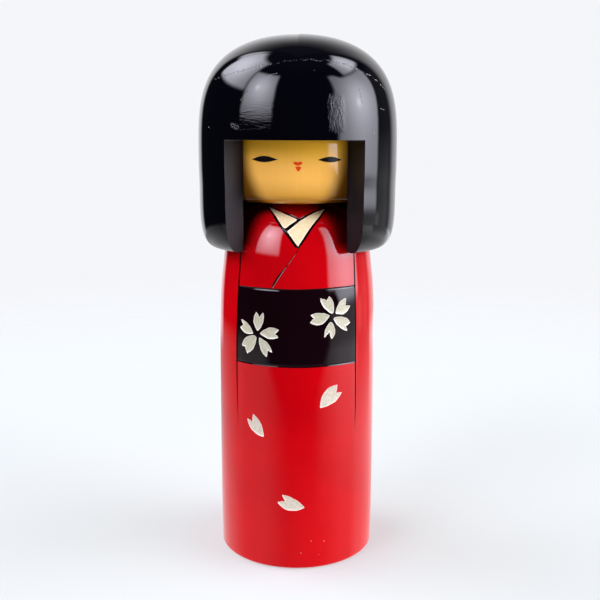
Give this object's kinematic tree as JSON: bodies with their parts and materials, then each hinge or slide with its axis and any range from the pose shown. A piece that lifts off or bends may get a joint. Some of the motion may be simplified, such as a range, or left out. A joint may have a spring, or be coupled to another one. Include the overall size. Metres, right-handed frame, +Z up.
{
  "type": "kokeshi doll",
  "caption": "Turned wooden doll: plain round trunk, hollow bobbed hair cap with a sawn window, and a round face set inside it; the head turns on a hidden dowel.",
  "frame": {"origin": "middle of the flat base, on the turning axis", "axes": "+Z up along the turning axis, the face looks along -Y, +X is to the right of someone looking at the face"},
  "size_m": [0.0908, 0.0907, 0.24],
  "materials": {
    "red_lacquer": "high-gloss red lacquer on turned hardwood, with carved and painted kimono lines, sash and petals",
    "bare_wood": "bare turned hardwood",
    "face_lacquer": "clear glossy lacquer on pale turned wood, with painted eyes and lips",
    "black_lacquer": "high-gloss black lacquer, semi-matt on the sawn faces of the window"
  },
  "bodies": {
    "trunk": {"body_trunk": "red_lacquer", "neck_dowel": "bare_wood"},
    "head": {"face_core": "face_lacquer", "hair_cap": "black_lacquer"}
  },
  "joints": [
    {"name": "head_turn", "type": "hinge", "parent": "trunk", "child": "head", "pos_m": [0, 0, 0.1662], "axis": [0, 0, 1], "continuous": true}
  ]
}
